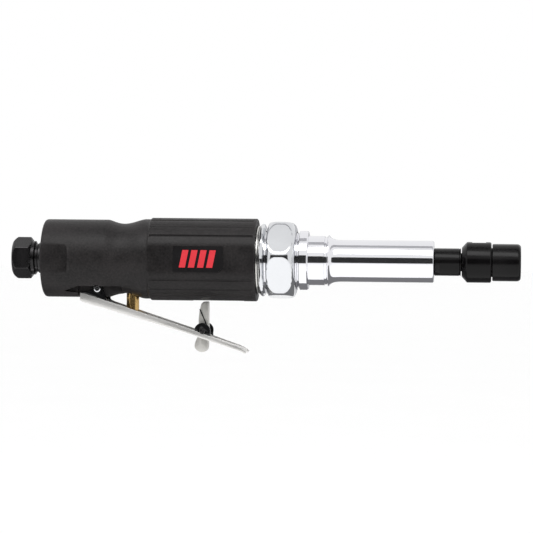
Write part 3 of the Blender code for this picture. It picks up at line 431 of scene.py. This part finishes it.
def build_housing():
    angles = grip_angles()
    rings = [[(BODY_REAR, 0.0, 0.0)]]
    for x, radius, rib_share in housing_outline():
        row = []
        for degrees, depth in angles:
            reach = grip_reach(degrees, x, radius, depth * rib_share)
            angle = math.radians(degrees)
            row.append((x, -reach * math.cos(angle), reach * math.sin(angle)))
        rings.append(row)
    rings.append([(GRIP_FRONT - 3 * MM, 0.0, 0.0)])
    shell = skin("housing_skin", rings)
    lever_low, lever_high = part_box("lever")
    lever_half = (lever_high.y - lever_low.y) / 2
    gap, sheet = 0.3 * MM, 1.5 * MM
    latch_half = (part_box("latch")[1].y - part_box("latch")[0].y) / 2
    valve_x = (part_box("valve_stem")[0].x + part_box("valve_stem")[1].x) / 2
    below, ceiling = -24.0 * MM, -14.2 * MM
    notch_rear, notch_front = lever_low.x - 1.0 * MM, PIVOT.x + 13.0 * MM
    cuts = [
        bar("bushing seat", BODY_REAR - MM, BODY_REAR + 12 * MM, 8.3 * MM),
        upright(bar("valve bore", below, -6.0 * MM, 5.2 * MM, 48), valve_x),
        bar("exhaust", BODY_REAR - MM, BODY_REAR + 20 * MM, 2.6 * MM, 32, centre=(0.0, 14.0 * MM)),
        block("latch relief", (-150.5 * MM, -latch_half - 0.7 * MM, below),
              (-123.5 * MM, latch_half + 0.7 * MM, -18.85 * MM)),
        crosswise(bar("pin hole", -20 * MM, 20 * MM, PIN_HOLE_R, 32), PIVOT),
    ]
    for side in (-1, 1):
        slot_sides = sorted((side * (lever_half - sheet - gap), side * (lever_half + gap)))
        mill_sides = sorted((side * (lever_half + gap - 0.4 * MM), side * 19.0 * MM))
        cuts.append(block("ear slot", (notch_rear, slot_sides[0], below),
                          (notch_front, slot_sides[1], -12.1 * MM)))
        # shallow run-out left by the cutter behind the notch
        runout = [(notch_rear + 0.5 * MM, ceiling), (notch_rear - 3.2 * MM, ceiling - 1.3 * MM),
                  (notch_rear - 6.7 * MM, ceiling - 2.8 * MM), (notch_rear + 0.5 * MM, ceiling - 3.7 * MM)]
        cuts.append(slab("run-out", runout, *mill_sides))
        cuts.append(block("side mill", (notch_rear, mill_sides[0], below),
                          (notch_front, mill_sides[1], ceiling)))
        half = WRENCH_FLAT_HALF
        front = BODY_REAR + WRENCH_FLAT_LENGTH
        outline = [(BODY_REAR - MM, -half), (front - 0.8 * MM, -half), (front, -half * 0.86)]
        outline += [(front + 0.5 * MM * math.cos(k * math.pi / 12),
                     half * 0.86 * math.sin(k * math.pi / 12))
                    for k in range(-5, 6)]
        outline += [(front, half * 0.86), (front - 0.8 * MM, half), (BODY_REAR - MM, half)]
        cuts.append(slab("wrench flat", outline, *sorted((side * 19.0 * MM, side * 25.0 * MM))))
    combine(shell, cuts)
    dress(shell, BLACK_COAT, "housing_group", "housing", math.radians(24))


# ---------------------------------------------------------------- nuts and turned metal

CLAMP_FLATS, CLAMP_FIRST_FLAT, CLAMP_R = 38.0 * MM, 203.0, 20.75 * MM
JAM_FLATS, JAM_FIRST_FLAT = 36.5 * MM, 223.0
INLET_FLATS = 19.0 * MM
NUT_BORE_R = 15.1 * MM
SOCKET_FLATS = 11.1 * MM


def hex_reach(across_flats, first_flat, sharpness):
    """Distance to a hexagon's side at an angle, with its corners slightly rounded."""
    def reach(angle):
        total = sum(max(0.0, math.cos(angle - math.radians(first_flat + 60 * side))) ** sharpness
                    for side in range(6))
        return across_flats / 2 / total ** (1.0 / sharpness)
    return reach


def soft_least(first, second, blend):
    """The smaller of two lengths, with the change from one to the other rounded off."""
    return -blend * math.log(math.exp(-first / blend) + math.exp(-second / blend))


def hex_nut(name, rear, front, across_flats, first_flat, bore, limit, blend, stations, sharpness):
    """Hexagonal nut whose ends are turned to the limit(x) radius."""
    reach = hex_reach(across_flats, first_flat, sharpness)
    share = [0.5 - 0.5 * math.cos(math.pi * step / stations) for step in range(stations + 1)]
    profile = [(rear, bore)] + [(rear + (front - rear) * s, 1.0) for s in share] + [(front, bore)]

    def radius_at(angle, x, radius):
        if radius == bore:
            return bore
        return soft_least(reach(angle), limit(x), blend)
    return turned(name, profile, NUT_SIDES, radius_at=radius_at)


def ramp(x, points):
    """Straight-line value between (x, value) points."""
    for (x0, v0), (x1, v1) in zip(points, points[1:]):
        if x <= x1:
            return v0 + (v1 - v0) * (x - x0) / (x1 - x0)
    return points[-1][1]


def build_nuts():
    low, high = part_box("clamp_nut")
    full = CLAMP_R
    clamp_limit = [(low.x, full - 3.6 * MM), (low.x + 0.35 * MM, full - 2.4 * MM),
                   (low.x + 1.2 * MM, full - 1.0 * MM),
                   (low.x + 2.6 * MM, full - 0.1 * MM), (low.x + 4.5 * MM, full + 0.6 * MM),
                   (high.x - 5.6 * MM, full + 0.6 * MM), (high.x - 3.6 * MM, full - 0.1 * MM),
                   (high.x - 1.9 * MM, full - 1.2 * MM), (high.x - 0.8 * MM, full - 2.6 * MM),
                   (high.x - 0.2 * MM, full - 3.8 * MM), (high.x, full - 4.6 * MM)]
    nut = hex_nut("clamp_nut_skin", low.x, high.x, CLAMP_FLATS, CLAMP_FIRST_FLAT, NUT_BORE_R,
                  lambda x: ramp(x, clamp_limit), 0.16 * MM, 34, 170)
    dress(nut, NUT_CHROME, "housing_group", "clamp_nut")

    low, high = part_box("jam_nut")
    jam_limit = [(low.x, 17.6 * MM), (low.x + 0.9 * MM, 18.7 * MM), (low.x + 1.5 * MM, 18.95 * MM),
                 (high.x - 0.9 * MM, 18.8 * MM), (high.x, 17.4 * MM)]
    nut = hex_nut("jam_nut_skin", low.x, high.x, JAM_FLATS, JAM_FIRST_FLAT, NUT_BORE_R,
                  lambda x: ramp(x, jam_limit), 0.08 * MM, 14, 220)
    dress(nut, NUT_CHROME, "housing_group", "jam_nut")

    low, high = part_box("face_ring")
    outer = (high.y - low.y) / 2
    washer = turned("face_ring_skin",
                    [(low.x, NUT_BORE_R), (low.x, outer - 0.4 * MM), (low.x + 0.3 * MM, outer),
                                       (high.x - 0.4 * MM, outer), (high.x - 0.1 * MM, outer - 0.35 * MM),
                                       (high.x, outer - 0.7 * MM), (high.x, NUT_BORE_R)])
    dress(washer, TURNED, "housing_group", "face_ring")


def build_extension():
    low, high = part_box("extension_housing")
    clamp_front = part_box("clamp_nut")[1].x
    ring_front, base_front = clamp_front + 1.6 * MM, clamp_front + 6.2 * MM
    step_front, rim = clamp_front + 14.6 * MM, clamp_front + 16.6 * MM
    tube_r, flange_r, core_r = 10.8 * MM, 17.9 * MM, 14.8 * MM
    base_r, step_r, neck_r, bore_r = 15.3 * MM, 12.75 * MM, 12.3 * MM, 11.2 * MM
    profile = [
        (low.x, bore_r), (low.x, flange_r), (GRIP_FRONT - 0.3 * MM, flange_r),
        (GRIP_FRONT - 0.3 * MM, core_r),
        (clamp_front - 0.7 * MM, core_r), (clamp_front - 0.6 * MM, 14.5 * MM),
        (ring_front - 1.0 * MM, 14.5 * MM), (ring_front - 0.6 * MM, 13.8 * MM),
        (ring_front - 0.2 * MM, 13.8 * MM), (ring_front, 15.0 * MM), (ring_front + 0.3 * MM, base_r),
        (base_front - 0.5 * MM, base_r), (base_front - 0.1 * MM, 14.9 * MM), (base_front, 13.3 * MM),
        (base_front + 0.2 * MM, 12.85 * MM), (base_front + 0.6 * MM, step_r), (step_front, step_r),
        (step_front + 0.2 * MM, 12.4 * MM), (step_front + 0.5 * MM, neck_r), (rim - 0.9 * MM, neck_r),
        (rim - 0.6 * MM, 12.45 * MM), (rim - 0.4 * MM, 12.9 * MM), (rim - 0.15 * MM, 13.2 * MM),
        (rim + 0.1 * MM, 13.25 * MM), (rim + 0.4 * MM, 12.95 * MM), (rim + 0.9 * MM, neck_r),
        (rim + 1.5 * MM, 11.8 * MM), (rim + 2.3 * MM, 11.4 * MM), (rim + 3.3 * MM, 11.1 * MM),
        (rim + 4.6 * MM, 10.9 * MM), (rim + 6.3 * MM, tube_r), (high.x - 24 * MM, tube_r),
        (high.x - 0.8 * MM, tube_r), (high.x - 0.35 * MM, tube_r - 0.12 * MM),
        (high.x - 0.08 * MM, tube_r - 0.4 * MM),
        (high.x, tube_r - 0.8 * MM), (high.x, 8.0 * MM), (low.x + 22.8 * MM, 8.0 * MM),
        (low.x + 22.8 * MM, bore_r)]
    dress(turned("extension_skin", profile), CHROME, "housing_group", "extension_housing", math.radians(33))


def build_inlet():
    low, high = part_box("inlet_bushing")
    hex_front = low.x + 9.8 * MM
    limit = [(low.x, 8.8 * MM), (low.x + 0.5 * MM, 9.5 * MM), (low.x + 1.4 * MM, 10.4 * MM),
             (low.x + 2.4 * MM, 11.1 * MM),
             (hex_front - 0.9 * MM, 11.0 * MM), (hex_front, 9.6 * MM)]
    reach = hex_reach(INLET_FLATS, 180.0, 260)
    stations = [low.x + (hex_front - low.x) * step / 22 for step in range(23)]
    profile = [(high.x, 3.6 * MM), (low.x + 20 * MM, 3.6 * MM), (low.x + 20 * MM, 5.7 * MM),
               (low.x + 0.9 * MM, 5.7 * MM), (low.x, 6.6 * MM)]
    profile += [(x, 1.0) for x in stations]
    profile += [(hex_front + 0.02 * MM, 8.8 * MM), (hex_front + 1.6 * MM, 8.8 * MM),
                (hex_front + 1.9 * MM, 8.3 * MM),
                (hex_front + 2.2 * MM, 7.4 * MM), (hex_front + 3.2 * MM, 7.4 * MM),
                (hex_front + 3.8 * MM, 8.0 * MM),
                (high.x, 8.0 * MM)]

    def radius_at(angle, x, radius):
        if radius != 1.0:
            return radius
        return soft_least(reach(angle), ramp(x, limit), 0.1 * MM)
    bushing = turned("inlet_skin", profile, 168, radius_at=radius_at)
    dress(bushing, OXIDE, "housing_group", "inlet_bushing")
    low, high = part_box("inlet_seal")
    middle = (low.x + high.x) / 2
    ring_points = [(middle + 0.9 * MM * math.cos(2 * math.pi * k / 14),
                    9.3 * MM + 0.7 * MM * math.sin(2 * math.pi * k / 14)) for k in range(14)]
    dress(turned("inlet_seal_skin", ring_points, 72), RUBBER, "housing_group", "inlet_seal")


def build_spindle_and_chuck():
    low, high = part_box("spindle")
    tube_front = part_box("extension_housing")[1].x
    collar_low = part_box("chuck_body")[0].x
    profile = rounded([
        (low.x, 0.0), (low.x, 2.6 * MM), (low.x + 8 * MM, 2.6 * MM), (low.x + 8 * MM, 3.7 * MM),
        (tube_front - 3.7 * MM, 3.7 * MM), (tube_front - 3.7 * MM, 6.0 * MM),
        (tube_front - 0.1 * MM, 6.0 * MM),
        (tube_front + 0.3 * MM, 7.1 * MM), (collar_low - 1.3 * MM, 7.1 * MM),
        (collar_low - 1.1 * MM, 6.8 * MM),
        (collar_low - 0.9 * MM, 7.1 * MM), (collar_low - 0.5 * MM, 7.1 * MM),
        (collar_low - 0.4 * MM, 4.7 * MM),
        (high.x, 4.7 * MM), (high.x, 0.0)], 0.12 * MM, 2)
    spindle = turned("spindle_skin", profile, 96)
    flats = []
    for turn in (0.0, 180.0):
        cutter = block("flat", (tube_front + 2.9 * MM, 6.45 * MM, -8 * MM),
                       (collar_low - 1.6 * MM, 9 * MM, 8 * MM))
        flats.append(turn_about_x(cutter, 213.0 + turn))
    combine(spindle, flats)
    dress(spindle, GLOSS_BLACK, "spindle_group", "spindle")

    low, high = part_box("chuck_body")
    collar_front = low.x + 15.2 * MM
    collar_r, inner_r = 10.5 * MM, 7.5 * MM
    body = turned("chuck_skin", rounded([
        (low.x, 0.0), (low.x, 7.5 * MM), (low.x + 2.3 * MM, collar_r - 0.4 * MM),
        (low.x + 2.8 * MM, collar_r),
        (collar_front - 0.6 * MM, collar_r), (collar_front, collar_r - 0.6 * MM), (collar_front, inner_r),
        (high.x - 0.4 * MM, inner_r), (high.x, inner_r - 0.4 * MM), (high.x, 0.0)], 0.25 * MM))
    corner = SOCKET_FLATS / math.sqrt(3)
    socket = slab("socket", arc((0.0, 0.0), corner, 0.0, 300.0, 5), 0.0, high.x + MM, "X")
    mark = block("collar flat", (low.x + 5.2 * MM, -4.0 * MM, 10.15 * MM),
                 (low.x + 12.4 * MM, 4.0 * MM, 12 * MM))
    thread = bar("thread", low.x - MM, -2.0 * MM, 5.0 * MM, 48)
    combine(body, [socket, mark, thread])
    dress(body, GLOSS_BLACK, "spindle_group", "chuck_body")

    low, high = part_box("chuck_sleeve")
    outer, inner, recess = 9.6 * MM, 7.8 * MM, 8.9 * MM
    sleeve = turned("sleeve_skin", [
        (low.x, inner), (low.x, outer - 0.5 * MM), (low.x + 0.15 * MM, outer - 0.15 * MM),
        (low.x + 0.5 * MM, outer),
        (high.x - 2.0 * MM, outer), (high.x - 1.2 * MM, outer - 0.12 * MM),
        (high.x - 0.6 * MM, outer - 0.45 * MM),
        (high.x - 0.2 * MM, outer - 0.9 * MM), (high.x, outer - 1.4 * MM), (high.x, inner + 0.1 * MM),
        (high.x - 0.1 * MM, inner), (high.x - 1.2 * MM, inner), (high.x - 1.2 * MM, recess),
        (low.x + 4.3 * MM, recess), (low.x + 4.3 * MM, inner)])
    dress(sleeve, GLOSS_BLACK, "sleeve_group", "chuck_sleeve", math.radians(35))


# ---------------------------------------------------------------- lever, latch, valve

LEVER_UNDER = ((-207.4, -22.7), (-188.3, -27.9), (-172.9, -32.3), (-151.5, -38.6), (-126.8, -46.6),
               (-125.0, -47.2), (-123.4, -48.0), (-122.4, -48.8))
SHEET = 1.5
EAR_R, LUG_R = 2.9, 4.2      # like the outlines, in millimetres
COIL_R, COIL_WIRE_R, COIL_TURNS, COIL_STEPS = 3.2 * MM, 0.35 * MM, 3.0, 26
LEVER_HEIGHTS = (4.6, 3.8, 3.2, 2.6, 2.0, 1.8, 1.6, 1.5)


def offset_up(points, height):
    """The points moved square to their own run, to its upper side."""
    moved = []
    for step, point in enumerate(points):
        before, after = points[max(step - 1, 0)], points[min(step + 1, len(points) - 1)]
        run = Vector((after[0] - before[0], after[1] - before[1])).normalized()
        moved.append((point[0] - run.y * height, point[1] + run.x * height))
    return moved


def millimetres(points):
    return [(x * MM, z * MM) for x, z in points]


def build_lever():
    low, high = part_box("lever")
    half = (high.y - low.y) / 2
    sheet = SHEET * MM
    top = [offset_up(LEVER_UNDER, height)[step] for step, height in enumerate(LEVER_HEIGHTS)]
    outline = millimetres(list(LEVER_UNDER) + top[::-1] + [(-208.6, -17.9), (-208.8, -21.6)])
    near = slab("lever_skin", outline, -half, -half + sheet)
    far = slab("far side", outline, half - sheet, half)
    under, upper = offset_up(LEVER_UNDER, 0.12), offset_up(LEVER_UNDER, SHEET)
    web = slab("web", millimetres(under[:-1] + upper[-2::-1]), -half + sheet / 2, half - sheet / 2)
    combine(near, [web, far], "UNION")
    latch_half = (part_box("latch")[1].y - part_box("latch")[0].y) / 2 + 0.3 * MM
    slot = block("latch slot", (-157.2 * MM, -latch_half, -50 * MM), (-138.4 * MM, latch_half, -33.0 * MM))
    combine(near, [slot, crosswise(bar("hole", -20 * MM, 20 * MM, PIN_HOLE_R, 32), PIVOT),
                   crosswise(bar("hole", -20 * MM, 20 * MM, LATCH_HOLE_R, 32), LATCH_PIVOT)])
    soften(near, 0.28 * MM, 3, 35.0)
    dress(near, SATIN, "lever_group", "lever", math.radians(30))

    # the ears round the lever's pin and the lugs round the latch's pin stand on the strip's top edge; they are
    # steel like the strip, but painted near-black as painted shade under the housing and painted dark reflection
    seat = [(x, z - 0.4) for x, z in top]
    ear = [(x, ramp(x, seat)) for x in (-208.0, -199.0, -190.0)]
    ear += [(-194.8, -21.6)] + arc((PIVOT.x / MM, PIVOT.z / MM), EAR_R, 20, 150, 16)
    ear += [(-203.4, -17.0), (-208.5, -17.7)]
    lug = [(x, ramp(x, seat)) for x in (-148.6, -144.6, -140.5)]
    lug += arc((LATCH_PIVOT.x / MM, LATCH_PIVOT.z / MM), LUG_R, -15, 160, 20)
    inset = 0.04 * MM
    for name, points, centre, hole_r in (("ear", ear, PIVOT, PIN_HOLE_R),
                                         ("lug", lug, LATCH_PIVOT, LATCH_HOLE_R)):
        for side, low_y in (("near", -half), ("far", half - sheet)):
            plate = slab("%s_%s_skin" % (name, side), millimetres(points), low_y + inset,
                         low_y + sheet - inset)
            combine(plate, [crosswise(bar("hole", -20 * MM, 20 * MM, hole_r, 32), centre)])
            soften(plate, 0.2 * MM, 2, 35.0)
            dress(plate, SHADE_PAINTED_EAR, "lever_group", None, math.radians(30))

    pin = turned("lever_pin_skin", rounded([(-9.6 * MM, 0.0), (-9.6 * MM, 1.4 * MM), (-9.2 * MM, 1.8 * MM),
                                            (9.2 * MM, 1.8 * MM), (9.6 * MM, 1.4 * MM), (9.6 * MM, 0.0)],
                                            0.2 * MM), 40)
    dress(crosswise(pin, PIVOT), NUT_CHROME, "housing_group", "lever_pin")
    pin = turned("latch_pin_skin", rounded([(-9.0 * MM, 0.0), (-9.0 * MM, 1.0 * MM), (-8.7 * MM, 1.3 * MM),
                                            (8.7 * MM, 1.3 * MM), (9.0 * MM, 1.0 * MM), (9.0 * MM, 0.0)],
                                            0.2 * MM), 32)
    dress(crosswise(pin, LATCH_PIVOT), OXIDE, "lever_group", "latch_pin")


def build_latch():
    x, z = LATCH_PIVOT.x / MM, LATCH_PIVOT.z / MM
    low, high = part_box("latch")
    outline = [(x - 1.3, z + 13.9), (x - 0.1, z + 15.1), (x + 2.6, z + 15.1), (x + 2.6, z + 10.0),
               (x + 2.6, z + 6.0), (x + 2.8, z + 2.4), (x + 2.9, z + 1.2), (x + 2.7, z - 1.0),
               (x + 2.6, z - 3.0),
               (x + 2.6, z - 8.2), (x + 2.3, z - 9.5), (x + 1.5, z - 10.5), (x + 0.4, z - 11.05),
               (x - 0.8, z - 11.2),
               (x - 2.2, z - 11.0), (x - 3.4, z - 10.3), (x - 4.3, z - 9.3), (x - 4.7, z - 8.2),
               (x - 4.6, z - 6.9),
               (x - 4.1, z - 5.5), (x - 2.9, z - 2.8), (x - 2.7, z - 1.0), (x - 2.6, z + 0.6),
               (x - 2.6, z + 6.0),
               (x - 2.2, z + 10.0)]
    plate = slab("latch_skin", millimetres(outline), low.y, high.y)
    combine(plate, [crosswise(bar("hole", -10 * MM, 10 * MM, LATCH_HOLE_R, 32), LATCH_PIVOT)])
    soften(plate, 0.45 * MM, 3, 35.0)
    dress(plate, CAST, "latch_group", "latch")

    spring_low, spring_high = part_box("latch_spring")
    path = []
    for step in range(int(COIL_TURNS * COIL_STEPS) + 1):
        angle = 2 * math.pi * step / COIL_STEPS + math.radians(100)
        share = step / (COIL_TURNS * COIL_STEPS)
        y = spring_low.y + 0.3 * MM + (spring_high.y - spring_low.y - 0.6 * MM) * share
        path.append((LATCH_PIVOT.x + COIL_R * math.cos(angle), y,
                     LATCH_PIVOT.z + COIL_R * math.sin(angle)))
    wire = tube("latch_spring_skin", path, COIL_WIRE_R)
    dress(wire, OXIDE, "latch_group", "latch_spring")
    # the coil's free end runs up the near face of the leg
    beside = low.y - 0.34 * MM
    arm = tube("latch_spring_arm", [(LATCH_PIVOT.x + dx * MM, beside, LATCH_PIVOT.z + dz * MM)
                                    for dx, dz in ((1.8, 2.6), (0.7, 5.3), (-0.7, 8.4), (-1.9, 11.2))],
                                    0.3 * MM)
    dress(arm, GLOSS_BLACK, "latch_group", None)


def build_valve():
    low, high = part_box("valve_stem")
    middle = (low.x + high.x) / 2
    stem = turned("valve_stem_skin", [
        (low.z, 0.0), (low.z, 2.7 * MM), (low.z + 0.2 * MM, 3.05 * MM), (low.z + 0.5 * MM, 3.3 * MM),
        (-12.0 * MM, 3.3 * MM), (-11.6 * MM, 1.5 * MM), (high.z, 1.5 * MM), (high.z, 0.0)], 64)
    dress(upright(stem, middle), BRASS, "valve_group", "valve_stem")


def dress_frame():
    """Every CAD piece that still shows gets the finish of its material slot."""
    finish_of = {part["node"]: part["material_slot"] for part in frame["record"]["subparts"]}
    for node, thing in frame["nodes"].items():
        thing.data.materials.clear()
        thing.data.materials.append(SLOT_FINISH[finish_of[node]])


# ---------------------------------------------------------------- stage

FLOOR_DROP = 0.40           # the tool hangs this far above the floor, clear of its own shadow
FLOOR_HALF = 30.0
FRAME_PIXELS, PIXEL_SIZE = 533, 0.52 * MM
SENSOR_WIDTH = 36.0
LOOK_AT = Vector((-0.1122, 0.0, -0.0033))


def card(name, corners, grey):
    """Flat sheet that only reflections see."""
    mesh_edit = bmesh.new()
    mesh_edit.faces.new([mesh_edit.verts.new(corner) for corner in corners])
    sheet = from_bmesh(name, mesh_edit)
    sheet.data.materials.append(finish_material(name + "_paint", (grey, grey, grey * 1.03), 0.9, 0.0, 0.02,
                                                0.02, 20.0))
    sheet.visible_camera = False
    sheet.visible_shadow = False
    sheet.visible_diffuse = False
    sheet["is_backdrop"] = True


def build_stage():
    ground = cad_low[2] - FLOOR_DROP
    mesh_edit = bmesh.new()
    corners = [mesh_edit.verts.new((x * FLOOR_HALF, y * FLOOR_HALF, ground)) for x,
               y in ((-1, -1), (1, -1), (1, 1), (-1, 1))]
    mesh_edit.faces.new(corners)
    floor = from_bmesh("floor", mesh_edit)
    floor.data.materials.append(FLOOR)
    floor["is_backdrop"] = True

    left, right = -2.4, 2.2
    near = -1.7
    card("dark_card", [(left, near, -0.30), (right, near, -0.30), (right, near, 0.66), (left, near, 0.66)],
         0.012)
    card("top_card", [(left, -0.22, 1.4), (right, -0.22, 1.4), (right, 0.20, 1.4), (left, 0.20, 1.4)], 0.42)
    card("under_card",
         [(left, 0.06, ground + 0.02), (right, 0.06, ground + 0.02), (right, 1.4, ground + 0.02),
                        (left, 1.4, ground + 0.02)], 0.16)
    card("back_card", [(left, 1.9, -0.35), (right, 1.9, -0.35), (right, 1.9, 0.5), (left, 1.9, 0.5)], 0.5)

    world = bpy.data.worlds.new("studio")
    bpy.context.scene.world = world
    world.use_nodes = True
    world.node_tree.nodes["Background"].inputs["Color"].default_value = (1.0, 1.0, 1.0, 1.0)
    world.node_tree.nodes["Background"].inputs["Strength"].default_value = 1.0
    bpy.context.scene.view_settings.view_transform = "Standard"


def area_light(name, at, target, width, height, power):
    light = bpy.data.lights.new(name, "AREA")
    light.shape = "RECTANGLE"
    light.size, light.size_y = width, height
    light.energy = power
    lamp = bpy.data.objects.new(name, light)
    bpy.context.scene.collection.objects.link(lamp)
    lamp.location = at
    lamp.rotation_euler = (Vector(target) - Vector(at)).to_track_quat("-Z", "Y").to_euler()


def build_camera():
    data = bpy.data.cameras.new("camera")
    camera = bpy.data.objects.new("camera", data)
    bpy.context.scene.collection.objects.link(camera)
    distance, azimuth, elevation, roll = 1.25, math.radians(5.0), math.radians(0.8), math.radians(0.55)
    away = Vector((math.sin(azimuth) * math.cos(elevation), -math.cos(azimuth) * math.cos(elevation),
                   math.sin(elevation)))
    camera.location = LOOK_AT + away * distance
    facing = (-away).to_track_quat("-Z", "Y").to_matrix().to_4x4()
    camera.rotation_euler = (facing @ Matrix.Rotation(roll, 4, "Z")).to_euler()
    data.sensor_width = SENSOR_WIDTH
    data.lens = SENSOR_WIDTH * distance / (FRAME_PIXELS * PIXEL_SIZE)
    data.clip_start, data.clip_end = 0.01, 100.0
    bpy.context.scene.camera = camera


build_housing()
build_nuts()
build_extension()
build_inlet()
build_spindle_and_chuck()
build_lever()
build_latch()
build_valve()
dress_frame()
build_stage()
area_light("key", (-0.3, -0.9, 1.3), (-0.11, 0.0, 0.0), width=2.2, height=0.7, power=18.0)
build_camera()
